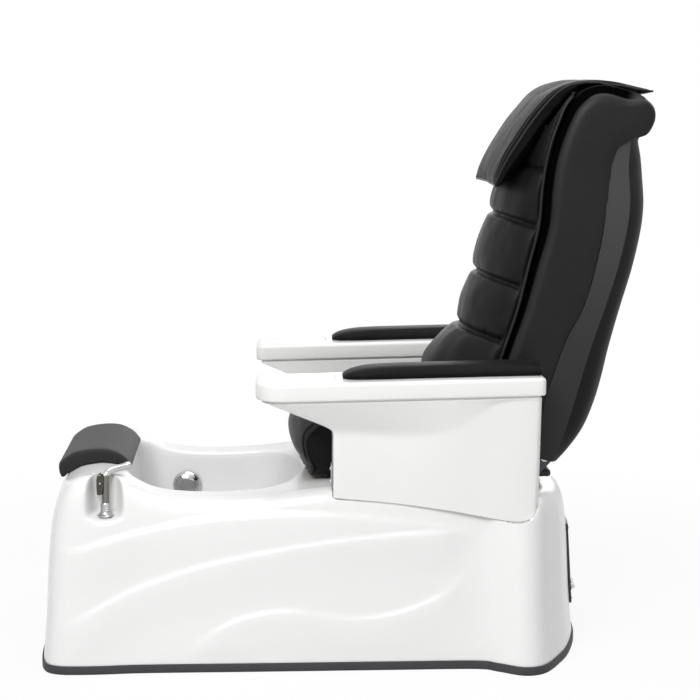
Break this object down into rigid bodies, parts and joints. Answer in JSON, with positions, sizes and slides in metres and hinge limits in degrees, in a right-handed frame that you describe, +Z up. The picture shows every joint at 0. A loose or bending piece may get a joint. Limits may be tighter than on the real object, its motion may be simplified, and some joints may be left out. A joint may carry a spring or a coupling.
{
  "type": "electric pedicure chair",
  "caption": "Spa pedicure chair: white moulded base with a water-jet foot basin, lift-up arm trays, sliding seat and a reclining padded massage back.",
  "frame": {"origin": "on the floor, in the middle plane of the chair, half way between its foremost and rearmost points", "axes": "+Z up, -Y towards the front where the feet go, +X towards the sitter's left"},
  "size_m": [0.8334, 1.4226, 1.3273],
  "materials": {
    "gloss_white": "gloss moulded plastic",
    "basin_white": "gloss moulded plastic",
    "trim_rubber": "matte rubber",
    "roller_rubber": "matte rubber",
    "black_leather": "grained artificial leather, satin",
    "grey_leather": "moulded foam skin, satin",
    "shell_grey": "satin moulded plastic",
    "black_plastic": "satin",
    "switch_red": "gloss",
    "chrome": "polished",
    "frame_steel": "satin paint",
    "bright_steel": "zinc plated",
    "seat_board": "raw plywood",
    "pipe_white": "plain pipe"
  },
  "bodies": {
    "base": {"base_shell": "gloss_white", "floor_trim": "trim_rubber", "foot_basin": "basin_white", "base_frame": "frame_steel", "slide_rail_left": "bright_steel", "slide_rail_right": "bright_steel", "slide_actuator": "black_plastic", "control_tray": "frame_steel", "control_box": "black_plastic", "jet_cap": "chrome", "pump_body": "black_plastic", "drain_flange": "chrome", "drain_pipe": "pipe_white", "rear_panel": "black_plastic", "power_inlet": "black_plastic", "switch_bezel": "black_plastic", "hot_inlet": "bright_steel", "cold_inlet": "bright_steel", "arm_box_left": "gloss_white", "arm_box_right": "gloss_white", "arm_bracket_left": "bright_steel", "arm_bracket_right": "bright_steel", "arm_hinge_left": "bright_steel", "arm_hinge_right": "bright_steel", "shower_socket": "chrome"},
    "arm_left": {"arm_tray_left": "gloss_white", "arm_pad_left": "black_leather"},
    "arm_right": {"arm_tray_right": "gloss_white", "arm_pad_right": "black_leather"},
    "footrest": {"footrest_pad": "grey_leather", "footrest_bracket": "bright_steel"},
    "shower": {"shower_handle": "chrome"},
    "trigger": {"shower_trigger": "chrome"},
    "seat": {"seat_carriage": "frame_steel", "seat_pan": "seat_board", "seat_cushion": "black_leather", "hinge_cover": "black_plastic", "actuator_rod": "bright_steel", "recline_motor": "black_plastic"},
    "back": {"back_frame": "frame_steel", "recline_shaft": "bright_steel", "back_shell": "shell_grey", "back_cover": "black_leather", "back_pad": "black_leather", "head_pillow": "black_leather", "roller_rail_left": "bright_steel", "roller_rail_right": "bright_steel", "lead_screw": "bright_steel", "roller_motor": "black_plastic"},
    "massage": {"roller_carriage": "black_plastic"},
    "roller_low": {"roller_lower": "roller_rubber"},
    "roller_high": {"roller_upper": "roller_rubber"},
    "impeller": {"jet_impeller": "black_plastic"},
    "stopper": {"drain_stopper": "chrome"},
    "switch": {"power_switch": "switch_red"}
  },
  "joints": [
    {"name": "seat_slide", "type": "slide", "parent": "base", "child": "seat", "axis": [0, -1, 0], "range_m": [0, 0.12]},
    {"name": "back_recline", "type": "hinge", "parent": "seat", "child": "back", "pos_m": [0, 0.46, 0.455], "axis": [-1, 0, 0], "range_deg": [0, 35]},
    {"name": "arm_left_lift", "type": "hinge", "parent": "base", "child": "arm_left", "pos_m": [0.33, 0.4265, 0.63125], "axis": [-1, 0, 0], "range_deg": [0, 88]},
    {"name": "arm_right_lift", "type": "hinge", "parent": "base", "child": "arm_right", "pos_m": [-0.33, 0.4265, 0.63125], "axis": [-1, 0, 0], "range_deg": [0, 88]},
    {"name": "footrest_lift", "type": "slide", "parent": "base", "child": "footrest", "axis": [0, 0, 1], "range_m": [0, 0.1]},
    {"name": "shower_lift", "type": "slide", "parent": "base", "child": "shower", "axis": [0, 0, 1], "range_m": [0, 0.15]},
    {"name": "trigger_press", "type": "hinge", "parent": "shower", "child": "trigger", "pos_m": [0.308, -0.5643, 0.43001], "axis": [1, 0, 0], "range_deg": [0, 8], "stiffness_Nm_per_rad": 0.2},
    {"name": "massage_climb", "type": "slide", "parent": "back", "child": "massage", "axis": [0, 0.2756, 0.9613], "range_m": [0, 0.43]},
    {"name": "roller_low_spin", "type": "hinge", "parent": "massage", "child": "roller_low", "pos_m": [0, 0.39234, 0.66165], "axis": [1, 0, 0], "continuous": true},
    {"name": "roller_high_spin", "type": "hinge", "parent": "massage", "child": "roller_high", "pos_m": [0, 0.41715, 0.74817], "axis": [1, 0, 0], "continuous": true},
    {"name": "impeller_spin", "type": "hinge", "parent": "base", "child": "impeller", "pos_m": [-0.2275, -0.391, 0.312], "axis": [1, 0, 0], "continuous": true},
    {"name": "stopper_lift", "type": "slide", "parent": "base", "child": "stopper", "axis": [0, 0, 1], "range_m": [0, 0.01]},
    {"name": "switch_rock", "type": "hinge", "parent": "base", "child": "switch", "pos_m": [-0.02, 0.53652, 0.225], "axis": [1, 0, 0], "range_deg": [0, 10]}
  ]
}
